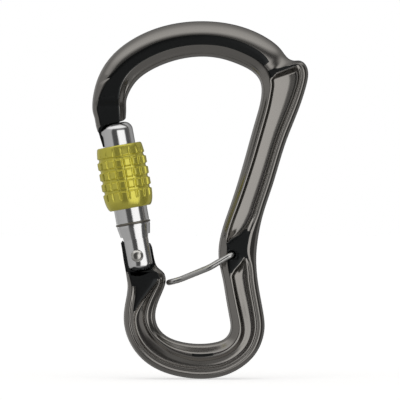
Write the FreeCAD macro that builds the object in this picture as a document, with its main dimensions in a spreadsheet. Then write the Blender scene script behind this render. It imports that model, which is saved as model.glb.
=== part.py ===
import FreeCAD, Part
import math
import os
import Sketcher
from FreeCAD import Placement, Rotation, Vector

# Locking belay carabiner, in millimetres.
# X runs from the gate to the spine, Y is the hinge direction, +Z is up.
# The origin is the seat of the wide (top) basket, halfway through the thickness.

doc = FreeCAD.newDocument("locking_carabiner")
dims = doc.addObject("Spreadsheet::Sheet", "dims")

DIMENSIONS = {
    # frame
    "frame_thickness": 11.0,
    "frame_rounding": 2.2,
    "pocket_depth": 2.2,
    "channel_depth": 1.3,
    "nose_radius": 6.5,
    "nose_half_thickness": 3.9,
    "nose_inner_side": 4.2,
    "nose_corner": 1.6,
    "nose_bottom": 45.5,
    "nose_top": 50.8,
    "nose_overlap": 0.6,
    "tang_thickness": 4.4,
    "shoulder_radius": 6.8,
    "shoulder_cut_top": 12.0,
    "hinge_x": -21.98,
    "hinge_z": -67.15,
    "gate_lean": 10.3,
    "cam_radius": 1.8,
    "cam_height": 4.5,
    # tongue of the nose
    "tongue_neck": 1.6,
    "tongue_head": 2.7,
    "tongue_end": 38.3,
    "tongue_step": 41.6,
    "tongue_root": 46.7,
    "tongue_inner": 2.7,
    "tongue_outer": 7.2,
    "tongue_gap": 0.22,
    "tongue_stop_play": 0.35,
    "tongue_open_side": 8.0,
    # gate
    "barrel_offset": 0.55,
    "barrel_radius": 5.6,
    "hinge_end_radius": 4.8,
    "taper_start": 5.6,
    "taper_end": 9.9,
    "gate_bottom": -5.5,
    "gate_top": 45.3,
    "gate_rounding": 2.8,
    "hinge_slot": 5.0,
    "slot_roof": 6.8,
    "cheek_rounding": 2.7,
    "spring_bore_radius": 2.15,
    "spring_bore_top": 27.5,
    # rivet
    "rivet_radius": 1.6,
    "rivet_play": 0.06,
    "rivet_head_radius": 2.0,
    "rivet_seat_y": 4.05,
    "rivet_brim": 0.45,
    "rivet_crown": 1.1,
    "rivet_shoulder_radius": 1.24,
    "rivet_shoulder": 0.95,
    # plunger and spring
    "plunger_radius": 2.08,
    "plunger_play": 0.05,
    "plunger_length": 6.0,
    "spigot_radius": 1.1,
    "spigot_length": 2.5,
    "spring_radius": 1.7,
    "spring_wire": 0.28,
    "spring_coils": 11,
    # retaining ring
    "ring_height": 11.0,
    "ring_radius": 5.475,
    "ring_wire": 0.425,
    "ring_arc": 336.0,
    "ring_opening_turn": 102.0,
    "ring_groove_depth": 0.65,
    "ring_groove_width": 1.0,
    # sleeve
    "sleeve_bottom": 16.2,
    "sleeve_top": 37.7,
    "sleeve_bore": 5.68,
    "sleeve_counterbore": 6.8,
    "counterbore_bottom": 26.4,
    "sleeve_radius": 8.36,
    "band_groove_radius": 7.7,
    "band_groove_width": 1.3,
    "band_groove_pitch": 3.66,
    "lowest_groove": 22.52,
    "flute_count": 18,
    "flute_radius": 0.8,
    "flute_axis_radius": 8.55,
    # screw thread
    "thread_lead": 5.0,
    "thread_start": 16.9,
    "thread_height": 19.8,
    "thread_depth": 0.45,
    "thread_half_width": 0.75,
    "ridge_start": 21.9,
    "ridge_height": 4.0,
    "ridge_half_width": 0.42,
    "ridge_play": 0.14,
    # belay bar
    "bar_pivot_x": 9.83,
    "bar_pivot_z": -66.71,
    "bar_wire": 0.95,
    "bar_hole": 1.03,
    "bar_hole_depth": 3.2,
    "bar_leg_y": 6.65,
    "bar_tip_y": 2.6,
    "bar_bend": 1.2,
    "bar_mouth": 1.75,
}

for row, (alias, number) in enumerate(DIMENSIONS.items(), start=1):
    dims.set("A%d" % row, alias.replace("_", " "))
    dims.set("B%d" % row, str(number))
    dims.setAlias("B%d" % row, alias)
doc.recompute()


def value(expression):
    """The number that an expression over the sheet gives."""
    result = dims.evalExpression(expression)
    return float(getattr(result, "Value", result))


def size(alias):
    """The number in one named cell of the sheet."""
    return float(dims.get(alias))


HINGE = Vector(size("hinge_x"), 0, size("hinge_z"))
LEAN = Rotation(Vector(0, 1, 0), -size("gate_lean"))
GATE_FRAME = Placement(HINGE + LEAN.multVec(Vector(size("barrel_offset"), 0, 0)), LEAN)
HALF = size("frame_thickness") / 2
LONG_EDGE = 12.0


# ---------------------------------------------------------------- helpers

def new_body(name):
    """An empty body whose label is the name of the sub-part."""
    body = doc.addObject("PartDesign::Body", name)
    body.Label = name
    return body


def new_sketch(body, name, plane, offset=None):
    """A sketch on one of the body's own origin planes."""
    sketch = body.newObject("Sketcher::SketchObject", name)
    support = [f for f in body.Origin.OriginFeatures if f.Role == plane][0]
    sketch.AttachmentSupport = [(support, "")]
    sketch.MapMode = "FlatFace"
    if offset is not None:
        sketch.AttachmentOffset = offset
    return sketch


def polygon(sketch, corners):
    """Closes straight sides round the corners, each a pair of expressions over the sheet."""
    points = [Vector(value(x), value(y), 0) for x, y in corners]
    count = len(points)
    for k in range(count):
        sketch.addGeometry(Part.LineSegment(points[k], points[(k + 1) % count]), False)
    for k in range(count):
        sketch.addConstraint(Sketcher.Constraint("Coincident", k, 2, (k + 1) % count, 1))
    for k, (x, y) in enumerate(corners):
        for kind, axis, text, number in (
            ("DistanceX", -2, x, points[k].x),
            ("DistanceY", -1, y, points[k].y),
        ):
            if text == "0":
                sketch.addConstraint(Sketcher.Constraint("PointOnObject", k, 1, axis))
            else:
                index = sketch.addConstraint(Sketcher.Constraint(kind, -1, 1, k, 1, number))
                sketch.setExpression("Constraints[%d]" % index, text)


def circle(sketch, x, y, radius):
    """A circle whose centre and radius are expressions over the sheet."""
    centre = Vector(value(x), value(y), 0)
    k = sketch.addGeometry(Part.Circle(centre, Vector(0, 0, 1), value(radius)), False)
    bound = [("Radius", radius, (k, value(radius)))]
    bound.append(("DistanceX", x, (-1, 1, k, 3, centre.x)))
    bound.append(("DistanceY", y, (-1, 1, k, 3, centre.y)))
    for kind, text, arguments in bound:
        index = sketch.addConstraint(Sketcher.Constraint(kind, *arguments))
        sketch.setExpression("Constraints[%d]" % index, text)


def curve(points):
    """A smooth curve through points given as (x, y)."""
    spline = Part.BSplineCurve()
    spline.interpolate([Vector(x, y, 0) for x, y in points])
    return spline


def loop(sketch, stretches):
    """Adds stretches that meet end to end: two points make a line, more make a curve."""
    for stretch in stretches:
        ends = [Vector(x, y, 0) for x, y in stretch]
        if len(stretch) == 2:
            sketch.addGeometry(Part.LineSegment(*ends), False)
        else:
            sketch.addGeometry(curve(stretch), False)
    count = len(stretches)
    for k in range(count):
        sketch.addConstraint(Sketcher.Constraint("Coincident", k, 2, (k + 1) % count, 1))


def feature(body, kind, name, profile, **settings):
    """A sketch-based feature; a text setting is an expression over the sheet."""
    made = body.newObject("PartDesign::" + kind, name)
    made.Profile = profile
    for key, setting in settings.items():
        if isinstance(setting, str) and "dims." in setting:
            made.setExpression(key, setting)
        else:
            setattr(made, key, setting)
    doc.recompute()
    return made


def from_hinge(across, along):
    """World (x, z) of a point given across and along the gate, from the rivet's centre."""
    point = HINGE + LEAN.multVec(Vector(across, 0, along))
    return point.x, point.z


# ---------------------------------------------------------------- frame

def cam_outline():
    """Involute top of the tang: a flat follower on it rises evenly with the gate's angle."""
    radius, height = size("cam_radius"), size("cam_height")
    points = []
    for degrees in (-16, -4, 8, 20, 32, 40):
        turn = math.radians(degrees)
        lift = height + radius * turn
        across = radius * math.cos(turn) + lift * math.sin(turn)
        points.append(from_hinge(across, lift * math.cos(turn) - radius * math.sin(turn)))
    return points


# From the nose over the top, round the spur, down the spine and round the lower basket.
OUTER_EDGE = [
    (-37.2, -17.0), (-36.7, -12.0), (-34.8, -6.0), (-30.8, 0.1), (-23.1, 6.2),
    (-13.6, 10.2), (0.2, 12.0), (13.0, 10.2), (22.0, 6.2), (26.8, 2.1), (29.2, -0.7),
    (30.9, -1.3), (32.8, -1.3), (34.5, -2.3), (35.5, -4.2), (35.7, -6.2),
    (35.0, -10.0), (33.1, -16.1), (28.4, -28.2), (23.4, -44.3), (20.4, -53.5),
    (18.9, -60.5), (18.2, -67.0), (18.4, -73.0), (19.3, -79.5), (20.6, -86.7), (21.0, -91.0),
    (20.4, -95.0), (18.0, -100.2), (13.5, -104.6), (7.5, -107.6), (0.5, -108.7), (-6.5, -108.2),
    (-13.0, -106.5), (-19.4, -102.9), (-23.1, -98.9), (-25.6, -94.0), (-26.6, -88.8),
    (-26.0, -82.7), (-25.3, -77.6), (-25.8, -73.0), (-26.7, -68.0), (-27.2, -64.6),
]
# From the hinge round the lower basket, up the spine and over the wide basket to the nose.
INNER_EDGE = [
    (-16.2, -68.6), (-15.2, -71.0), (-13.1, -72.9), (-12.4, -75.6), (-13.3, -78.9),
    (-15.0, -83.0), (-15.9, -87.5), (-15.1, -91.0), (-12.5, -94.0), (-7.6, -96.1),
    (-0.8, -96.9), (4.2, -96.4), (7.6, -95.0), (9.3, -92.3), (9.2, -88.8), (8.1, -82.7),
    (6.7, -74.6), (5.5, -68.5), (5.5, -64.0), (6.6, -58.5), (9.3, -50.4), (14.3, -34.2),
    (18.0, -21.0), (19.9, -12.5), (19.3, -8.0), (16.7, -5.0), (12.6, -2.8), (5.9, -0.6),
    (0.0, 0.0), (-9.3, -1.3), (-16.3, -4.0), (-22.0, -8.0), (-24.8, -12.2),
]

# Upper pocket, between the spine's two rims.
POCKET_LEFT = [
    (24.5, -6.6), (22.9, -12.4), (21.3, -19.0), (17.0, -34.2), (11.6, -49.4), (8.4, -59.6),
]
POCKET_TIP = [(8.4, -59.6), (8.7, -61.4), (10.4, -61.9), (13.3, -59.6)]
POCKET_RIGHT = [
    (13.3, -59.6), (16.6, -55.4), (18.8, -49.4), (22.1, -39.3), (29.8, -16.1), (31.9, -10.7),
    (32.6, -6.4),
]
POCKET_TOP = [(32.6, -6.4), (31.6, -4.4), (29.3, -3.9), (26.0, -4.9), (24.5, -6.6)]

# Channel round the lower basket.
CHANNEL_INNER = [
    (9.6, -74.4), (10.9, -80.3), (12.6, -86.4), (13.3, -91.5), (12.0, -96.6), (7.5, -100.1),
    (0.5, -101.3), (-8.0, -100.4), (-14.5, -97.6), (-18.4, -93.4), (-19.4, -88.6), (-18.7, -84.0),
    (-16.8, -78.2),
]
CHANNEL_OUTER = [
    (-21.9, -82.6), (-22.7, -88.0), (-22.1, -93.0), (-19.6, -97.6), (-15.8, -101.2),
    (-10.0, -104.0), (0.5, -105.0), (7.5, -103.8), (13.0, -100.8), (16.4, -96.8), (17.6, -91.6),
    (17.0, -86.0), (15.7, -79.0), (14.9, -73.0), (14.6, -68.6),
]


def rounded_edges(shape):
    """Names of the long edges of the two flat faces."""
    names = []
    for k, edge in enumerate(shape.Edges, start=1):
        box = edge.BoundBox
        on_face = abs(abs(box.YMin) - HALF) < 1e-4 and box.YLength < 1e-4
        if on_face and edge.Length > LONG_EDGE:
            names.append("Edge%d" % k)
    return names


def check_cut(before, after, name):
    """A cut has to take metal away."""
    if after.Shape.Volume >= before.Shape.Volume:
        raise RuntimeError(name + " cut nothing")


def mirror(body, name, originals):
    """Repeats features of the front face in the back face."""
    mirrored = body.newObject("PartDesign::Mirrored", name)
    mirrored.Originals = originals
    middle = [f for f in body.Origin.OriginFeatures if f.Role == "XZ_Plane"][0]
    mirrored.MirrorPlane = (middle, [""])
    body.Tip = mirrored
    doc.recompute()
    return mirrored


def check_added(before, after, name):
    """A boss has to add metal, in one piece with the rest."""
    if after.Shape.Volume <= before.Shape.Volume or len(after.Shape.Solids) != 1:
        raise RuntimeError(name + " added nothing")


def make_frame():
    body = new_body("frame")
    front = Placement(Vector(0, 0, HALF), Rotation())

    # the forging: one outline, as thick as the bar
    outline = new_sketch(body, "frame_outline", "XZ_Plane")
    nose_outer = from_hinge(-6.1, size("nose_top"))
    nose_inner = from_hinge(5.36, size("nose_top"))
    ear_foot = from_hinge(-4.7, 5.2)
    ear_tip = from_hinge(-4.0, 5.9)
    ear_root = from_hinge(-2.7, 4.1)
    tang_corner = from_hinge(5.4, 1.9)
    cam = cam_outline()
    loop(outline, [
        [nose_outer] + OUTER_EDGE + [ear_foot],
        [ear_foot, ear_tip],
        [ear_tip, ear_root],
        [ear_root, cam[0]],
        cam,
        [cam[-1], tang_corner],
        [tang_corner] + INNER_EDGE + [nose_inner],
        [nose_inner, nose_outer],
    ])
    pad = feature(body, "Pad", "frame_forging", outline,
                  Length="dims.frame_thickness", Midplane=True)

    # hinge end: a thin tang between two shoulders round the rivet
    shoulder = new_sketch(body, "shoulder_outline", "XZ_Plane", front)
    shoulder.setExpression("AttachmentOffset.Base.z", "dims.frame_thickness / 2")
    radius = size("shoulder_radius")
    turn = math.radians(size("gate_lean"))
    arc = Part.Circle(Vector(HINGE.x, HINGE.z, 0), Vector(0, 0, 1), radius)
    shoulder.addGeometry(Part.ArcOfCircle(arc, math.pi + turn, 2 * math.pi + turn), False)
    right, left = from_hinge(radius, 0), from_hinge(-radius, 0)
    cut_top = size("shoulder_cut_top")
    top_right, top_left = from_hinge(radius, cut_top), from_hinge(-radius, cut_top)
    for start, end in ((right, top_right), (top_right, top_left), (top_left, left)):
        line = Part.LineSegment(Vector(*start, 0), Vector(*end, 0))
        shoulder.addGeometry(line, False)
    shoulder_cut = feature(body, "Pocket", "tang_cut", shoulder,
                           Length="(dims.frame_thickness - dims.tang_thickness) / 2")
    check_cut(pad, shoulder_cut, "tang cut")

    both_shoulders = mirror(body, "tang", [shoulder_cut])
    check_cut(shoulder_cut, both_shoulders, "tang")

    rounding = body.newObject("PartDesign::Fillet", "frame_edge_rounding")
    rounding.Base = (both_shoulders, rounded_edges(both_shoulders.Shape))
    rounding.setExpression("Radius", "dims.frame_rounding")
    doc.recompute()
    check_cut(both_shoulders, rounding, "rounding")

    # pockets and channel in the front face, then the same in the back face
    upper = new_sketch(body, "spine_pocket_outline", "XZ_Plane", front)
    loop(upper, [POCKET_LEFT, POCKET_TIP, POCKET_RIGHT, POCKET_TOP])
    upper.setExpression("AttachmentOffset.Base.z", "dims.frame_thickness / 2")
    spine_pocket = feature(body, "Pocket", "spine_pocket", upper, Length="dims.pocket_depth")
    check_cut(rounding, spine_pocket, "spine pocket")

    lower = new_sketch(body, "basket_channel_outline", "XZ_Plane", front)
    loop(lower, [
        CHANNEL_INNER,
        [CHANNEL_INNER[-1], CHANNEL_OUTER[0]],
        CHANNEL_OUTER,
        [CHANNEL_OUTER[-1], CHANNEL_INNER[0]],
    ])
    lower.setExpression("AttachmentOffset.Base.z", "dims.frame_thickness / 2")
    channel = feature(body, "Pocket", "basket_channel", lower, Length="dims.channel_depth")
    check_cut(spine_pocket, channel, "basket channel")

    hole = new_sketch(body, "bar_hole_outline", "XZ_Plane", front)
    circle(hole, "dims.bar_pivot_x", "dims.bar_pivot_z", "dims.bar_hole")
    hole.setExpression("AttachmentOffset.Base.z", "dims.frame_thickness / 2")
    bar_hole = feature(body, "Pocket", "bar_hole", hole, Length="dims.bar_hole_depth")
    check_cut(channel, bar_hole, "bar hole")

    mouth = new_sketch(body, "bar_hole_mouth_outline", "XZ_Plane", front)
    circle(mouth, "dims.bar_pivot_x", "dims.bar_pivot_z", "dims.bar_mouth")
    mouth.setExpression("AttachmentOffset.Base.z", "dims.frame_thickness / 2")
    bar_mouth = feature(body, "Pocket", "bar_hole_mouth", mouth,
                        Length="dims.bar_mouth - dims.bar_hole", TaperAngle=-45.0)
    check_cut(bar_hole, bar_mouth, "bar hole mouth")

    back = mirror(body, "back_face", [spine_pocket, channel, bar_hole, bar_mouth])
    check_cut(bar_mouth, back, "back face")

    # rivet hole through the tang
    rivet = new_sketch(body, "rivet_hole_outline", "XZ_Plane")
    circle(rivet, "dims.hinge_x", "dims.hinge_z", "dims.rivet_radius + dims.rivet_play")
    rivet_hole = feature(body, "Pocket", "rivet_hole", rivet,
                         Length="dims.frame_thickness", Midplane=True)
    check_cut(back, rivet_hole, "rivet hole")

    # nose: thinner than the bar and round on its outside, so that the sleeve passes over it
    across = GATE_FRAME.multiply(Placement(Vector(0, 0, size("nose_bottom")), Rotation()))
    nose = new_sketch(body, "nose_outline", "XY_Plane", across)
    nose_profile(nose)
    nose_pad = feature(body, "Pad", "nose", nose,
                       Length="dims.nose_top - dims.nose_bottom + dims.nose_overlap")
    check_added(rivet_hole, nose_pad, "nose")

    # tongue of the nose: wider at its end than at its neck, and swept round the hinge,
    # so that it holds the closed gate along its length and still lets it swing
    tilt = Rotation(Vector(1, 0, 0), -size("gate_lean"))
    at_hinge = Placement(Vector(0, HINGE.z, HINGE.x), tilt)
    tongue = new_sketch(body, "tongue_outline", "YZ_Plane", at_hinge)
    polygon(tongue, tongue_section("0", "dims.tongue_root"))
    swept = feature(body, "Revolution", "tongue", tongue, ReferenceAxis=(tongue, ["H_Axis"]),
                    Type="TwoAngles", Angle="dims.tongue_inner", Angle2="dims.tongue_outer")
    check_added(nose_pad, swept, "tongue")
    return body


def nose_profile(sketch):
    """Section of the nose: an arc outside, flat front and back, a rounded inner side."""
    half, inner, corner = size("nose_half_thickness"), size("nose_inner_side"), size("nose_corner")
    outside = size("nose_radius")
    reach = math.asin(half / outside)
    start = Vector(-outside * math.cos(reach), half, 0)
    flat_end = Vector(inner - corner, half, 0)
    corner_end = Vector(inner, half - corner, 0)
    slant = corner * (1 - math.sqrt(0.5))
    corner_middle = Vector(inner - slant, half - slant, 0)
    down = [Vector(p.x, -p.y, 0) for p in (start, flat_end, corner_end, corner_middle)]
    sketch.addGeometry(Part.Arc(down[0], Vector(-outside, 0, 0), start), False)
    sketch.addGeometry(Part.LineSegment(start, flat_end), False)
    sketch.addGeometry(Part.Arc(flat_end, corner_middle, corner_end), False)
    sketch.addGeometry(Part.LineSegment(corner_end, down[2]), False)
    sketch.addGeometry(Part.Arc(down[2], down[3], down[1]), False)
    sketch.addGeometry(Part.LineSegment(down[1], down[0]), False)


def tongue_section(play, root):
    """Half-widths and distances from the hinge of the tongue, grown by the play."""
    neck, head = "dims.tongue_neck + " + play, "dims.tongue_head + " + play
    step, end = "dims.tongue_step + " + play, "dims.tongue_end - " + play
    slope = "dims.tongue_step + dims.tongue_head - dims.tongue_neck + " + play
    right = [(head, end), (head, step), (neck, slope), (neck, root)]
    left = [("-(%s)" % x, y) for x, y in reversed(right)]
    return right + left


# ---------------------------------------------------------------- gate

def helix(body, kind, name, profile, height, lead):
    """Carries a profile round the body's own Z axis."""
    made = body.newObject("PartDesign::" + kind, name)
    made.Profile = profile
    made.ReferenceAxis = (profile, ["V_Axis"])
    made.Mode = "pitch-height-angle"
    made.setExpression("Pitch", lead)
    made.setExpression("Height", height)
    doc.recompute()
    return made


def turned(name, corners):
    """A body turned round its own Z axis from a profile of (radius, height) expressions."""
    body = new_body(name)
    sketch = new_sketch(body, name + "_profile", "XZ_Plane")
    polygon(sketch, corners)
    feature(body, "Revolution", name + "_turning", sketch,
            ReferenceAxis=(sketch, ["V_Axis"]), Angle=360.0)
    return body


def circles_at(shape, height, radius):
    """Names of the circular edges at a height, with a given radius."""
    names = []
    for k, edge in enumerate(shape.Edges, start=1):
        box = edge.BoundBox
        level = box.ZLength < 1e-4 and abs(box.ZMin - height) < 1e-4
        if level and abs(box.XMax - radius) < 1e-3:
            names.append("Edge%d" % k)
    return names


def make_gate():
    groove_low = "dims.ring_height - dims.ring_groove_width / 2"
    groove_high = "dims.ring_height + dims.ring_groove_width / 2"
    groove_floor = "dims.barrel_radius - dims.ring_groove_depth"
    body = turned("gate", [
        ("0", "dims.gate_bottom"),
        ("dims.hinge_end_radius", "dims.gate_bottom"),
        ("dims.hinge_end_radius", "dims.taper_start"),
        ("dims.barrel_radius", "dims.taper_end"),
        ("dims.barrel_radius", groove_low),
        (groove_floor, groove_low),
        (groove_floor, groove_high),
        ("dims.barrel_radius", groove_high),
        ("dims.barrel_radius", "dims.gate_top"),
        ("0", "dims.gate_top"),
    ])
    barrel = body.Tip
    top = body.newObject("PartDesign::Fillet", "gate_top_rounding")
    top.Base = (barrel, circles_at(barrel.Shape, size("gate_top"), size("barrel_radius")))
    top.setExpression("Radius", "dims.gate_rounding")
    doc.recompute()
    check_cut(barrel, top, "gate top")

    end = body.newObject("PartDesign::Fillet", "cheek_rounding")
    end.Base = (top, circles_at(top.Shape, size("gate_bottom"), size("hinge_end_radius")))
    end.setExpression("Radius", "dims.cheek_rounding")
    doc.recompute()
    check_cut(top, end, "cheek rounding")

    # slot for the tang between two cheeks
    slot = new_sketch(body, "hinge_slot_outline", "YZ_Plane")
    half = "dims.hinge_slot / 2"
    polygon(slot, [
        ("-" + half, "dims.gate_bottom - 2"), (half, "dims.gate_bottom - 2"),
        (half, "dims.slot_roof"), ("-" + half, "dims.slot_roof"),
    ])
    slot_cut = feature(body, "Pocket", "hinge_slot", slot,
                       Length="4 * dims.barrel_radius", Midplane=True)
    check_cut(end, slot_cut, "hinge slot")

    # rivet hole, and a seat for its head in each cheek
    hole = new_sketch(body, "rivet_seat_outline", "XZ_Plane")
    circle(hole, "-dims.barrel_offset", "0", "dims.rivet_radius")
    hole_cut = feature(body, "Pocket", "rivet_seat", hole,
                       Length="4 * dims.barrel_radius", Midplane=True)
    check_cut(slot_cut, hole_cut, "rivet seat")
    last = hole_cut
    for side_name, direction in (("front", 1), ("back", -1)):
        level = Placement(Vector(0, 0, direction * size("rivet_seat_y")), Rotation())
        seat = new_sketch(body, side_name + "_head_seat_outline", "XZ_Plane", level)
        circle(seat, "-dims.barrel_offset", "0", "dims.rivet_head_radius + 0.1")
        seat_cut = feature(body, "Pocket", side_name + "_head_seat", seat,
                           Length="dims.barrel_radius", Reversed=direction > 0)
        check_cut(last, seat_cut, "head seat")
        last = seat_cut

    # bore for the spring and its plunger, drilled up from the slot
    level = Placement(Vector(0, 0, size("spring_bore_top")), Rotation())
    bore = new_sketch(body, "spring_bore_outline", "XY_Plane", level)
    circle(bore, "0", "0", "dims.spring_bore_radius")
    bore_cut = feature(body, "Pocket", "spring_bore", bore,
                       Length="dims.spring_bore_top - dims.slot_roof + 1")
    check_cut(last, bore_cut, "spring bore")

    # pocket for the tongue of the nose, open to the outer side
    at_hinge = Placement(Vector(0, 0, -size("barrel_offset")), Rotation())
    tongue = new_sketch(body, "nose_pocket_outline", "YZ_Plane", at_hinge)
    polygon(tongue, tongue_section("dims.tongue_gap", "dims.gate_top + 5"))
    tongue_cut = feature(body, "Groove", "nose_pocket", tongue,
                         ReferenceAxis=(tongue, ["H_Axis"]), Type="TwoAngles",
                         Angle="dims.tongue_inner + dims.tongue_stop_play",
                         Angle2="dims.tongue_outer + dims.tongue_open_side")
    check_cut(bore_cut, tongue_cut, "nose pocket")

    # thread on the barrel
    thread = new_sketch(body, "thread_outline", "XZ_Plane")
    floor_r = "dims.barrel_radius - dims.thread_depth"
    open_r = "dims.barrel_radius + 0.2"
    start_z = "dims.thread_start"
    polygon(thread, [
        (floor_r, start_z + " - dims.thread_half_width / 2"),
        (open_r, start_z + " - dims.thread_half_width"),
        (open_r, start_z + " + dims.thread_half_width"),
        (floor_r, start_z + " + dims.thread_half_width / 2"),
    ])
    thread_cut = helix(body, "SubtractiveHelix", "thread", thread,
                       "dims.thread_height", "dims.thread_lead")
    check_cut(tongue_cut, thread_cut, "thread")
    body.Placement = GATE_FRAME
    return body


def make_gate_rivet():
    head, seat = "dims.rivet_head_radius", "dims.rivet_seat_y + 0.03"
    upper = [
        ("dims.rivet_radius", seat),
        (head, seat),
        (head, "dims.rivet_seat_y + dims.rivet_brim"),
        ("dims.rivet_shoulder_radius", "dims.rivet_seat_y + dims.rivet_shoulder"),
        ("0", "dims.rivet_seat_y + dims.rivet_crown"),
    ]
    lower = [(x, "-(%s)" % y) for x, y in reversed(upper)]
    body = turned("gate_rivet", lower + upper)
    body.Placement = Placement(HINGE, Rotation(Vector(1, 0, 0), -90))
    return body


def make_spring_plunger():
    foot = "dims.cam_height + dims.plunger_play"
    top = foot + " + dims.plunger_length"
    body = turned("spring_plunger", [
        ("0", foot),
        ("dims.plunger_radius", foot),
        ("dims.plunger_radius", top),
        ("dims.spigot_radius", top),
        ("dims.spigot_radius", top + " + dims.spigot_length"),
        ("0", top + " + dims.spigot_length"),
    ])
    body.Placement = GATE_FRAME
    return body


def make_gate_spring():
    body = new_body("gate_spring")
    wire = new_sketch(body, "spring_wire_outline", "XZ_Plane")
    foot = "dims.cam_height + dims.plunger_play + dims.plunger_length + dims.spring_wire + 0.02"
    height = "dims.spring_bore_top - dims.spring_wire - 0.02 - (%s)" % foot
    circle(wire, "dims.spring_radius", foot, "dims.spring_wire")
    helix(body, "AdditiveHelix", "coils", wire, height, "(%s) / dims.spring_coils" % height)
    body.Placement = GATE_FRAME
    return body


def make_retaining_ring():
    body = new_body("retaining_ring")
    wire = new_sketch(body, "ring_wire_outline", "XZ_Plane")
    circle(wire, "dims.ring_radius", "dims.ring_height", "dims.ring_wire")
    feature(body, "Revolution", "ring", wire, ReferenceAxis=(wire, ["V_Axis"]),
            Angle="dims.ring_arc")
    turn = Rotation(Vector(0, 0, 1), size("ring_opening_turn"))
    body.Placement = GATE_FRAME.multiply(Placement(Vector(), turn))
    return body


# ---------------------------------------------------------------- sleeve

def make_locking_sleeve():
    top, bottom = "dims.sleeve_top", "dims.sleeve_bottom"
    first_groove = "dims.lowest_groove + 3 * dims.band_groove_pitch"
    body = turned("locking_sleeve", [
        ("dims.sleeve_bore", bottom),
        ("dims.sleeve_radius - 1.75", bottom),
        ("dims.sleeve_radius - 1.3", bottom + " + 0.2"),
        ("dims.sleeve_radius - 0.7", bottom + " + 1.3"),
        ("dims.sleeve_radius - 0.25", bottom + " + 3.2"),
        ("dims.sleeve_radius", "dims.lowest_groove"),
        ("dims.sleeve_radius", first_groove + " - 0.6"),
        ("dims.sleeve_radius - 0.3", first_groove + " + 0.6"),
        ("dims.sleeve_radius - 0.9", top + " - 0.3"),
        ("dims.sleeve_radius - 1.15", top),
        ("dims.sleeve_counterbore", top),
        ("dims.sleeve_counterbore", "dims.counterbore_bottom"),
        ("dims.sleeve_bore", "dims.counterbore_bottom"),
    ])
    sleeve = body.Tip

    # four grooves round it
    ring = new_sketch(body, "band_groove_outline", "XZ_Plane")
    low = "dims.lowest_groove - dims.band_groove_width / 2"
    high = "dims.lowest_groove + dims.band_groove_width / 2"
    polygon(ring, [
        ("dims.band_groove_radius", low), ("dims.sleeve_radius + 1", low),
        ("dims.sleeve_radius + 1", high), ("dims.band_groove_radius", high),
    ])
    groove = feature(body, "Groove", "band_groove", ring,
                     ReferenceAxis=(ring, ["V_Axis"]), Angle=360.0)
    check_cut(sleeve, groove, "band groove")
    bands = body.newObject("PartDesign::LinearPattern", "band_grooves")
    bands.Originals = [groove]
    bands.Direction = ([f for f in body.Origin.OriginFeatures if f.Role == "Z_Axis"][0], [""])
    bands.setExpression("Length", "3 * dims.band_groove_pitch")
    bands.Occurrences = 4
    body.Tip = bands
    doc.recompute()
    check_cut(groove, bands, "band grooves")

    # flutes along it
    level = Placement(Vector(0, 0, size("sleeve_top") + 1), Rotation())
    flute = new_sketch(body, "flute_outline", "XY_Plane", level)
    circle(flute, "dims.flute_axis_radius", "0", "dims.flute_radius")
    flute_cut = feature(body, "Pocket", "flute", flute,
                        Length="dims.sleeve_top - dims.sleeve_bottom + 2")
    check_cut(bands, flute_cut, "flute")
    flutes = body.newObject("PartDesign::PolarPattern", "flutes")
    flutes.Originals = [flute_cut]
    flutes.Axis = ([f for f in body.Origin.OriginFeatures if f.Role == "Z_Axis"][0], [""])
    flutes.Angle = 360.0
    flutes.setExpression("Occurrences", "dims.flute_count")
    body.Tip = flutes
    doc.recompute()
    check_cut(flute_cut, flutes, "flutes")

    # ridge inside, which runs in the gate's thread
    ridge = new_sketch(body, "ridge_outline", "XZ_Plane")
    tip_r = "dims.barrel_radius - dims.thread_depth + dims.ridge_play"
    root_r = "dims.sleeve_bore + 0.25"
    start_z = "dims.ridge_start"
    polygon(ridge, [
        (tip_r, start_z + " - dims.ridge_half_width / 2"),
        (root_r, start_z + " - dims.ridge_half_width"),
        (root_r, start_z + " + dims.ridge_half_width"),
        (tip_r, start_z + " + dims.ridge_half_width / 2"),
    ])
    ridge_made = helix(body, "AdditiveHelix", "thread_ridge", ridge,
                       "dims.ridge_height", "dims.thread_lead")
    check_added(flutes, ridge_made, "thread ridge")
    body.Placement = GATE_FRAME
    return body


# ---------------------------------------------------------------- belay bar

def rounded_path(points, radii):
    """Straight runs between the points, joined by tangent arcs of the given radii."""
    edges = []
    start = points[0]
    for before, corner, after, radius in zip(points, points[1:], points[2:], radii):
        back, ahead = (before - corner).normalize(), (after - corner).normalize()
        half_turn = (math.pi - back.getAngle(ahead)) / 2
        reach = radius * math.tan(half_turn)
        entry, leave = corner + back * reach, corner + ahead * reach
        inward = (back + ahead).normalize()
        middle = corner + inward * (radius / math.cos(half_turn) - radius)
        edges.append(Part.LineSegment(start, entry).toShape())
        edges.append(Part.Arc(entry, middle, leave).toShape())
        start = leave
    edges.append(Part.LineSegment(start, points[-1]).toShape())
    return Part.Wire(edges)


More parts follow.
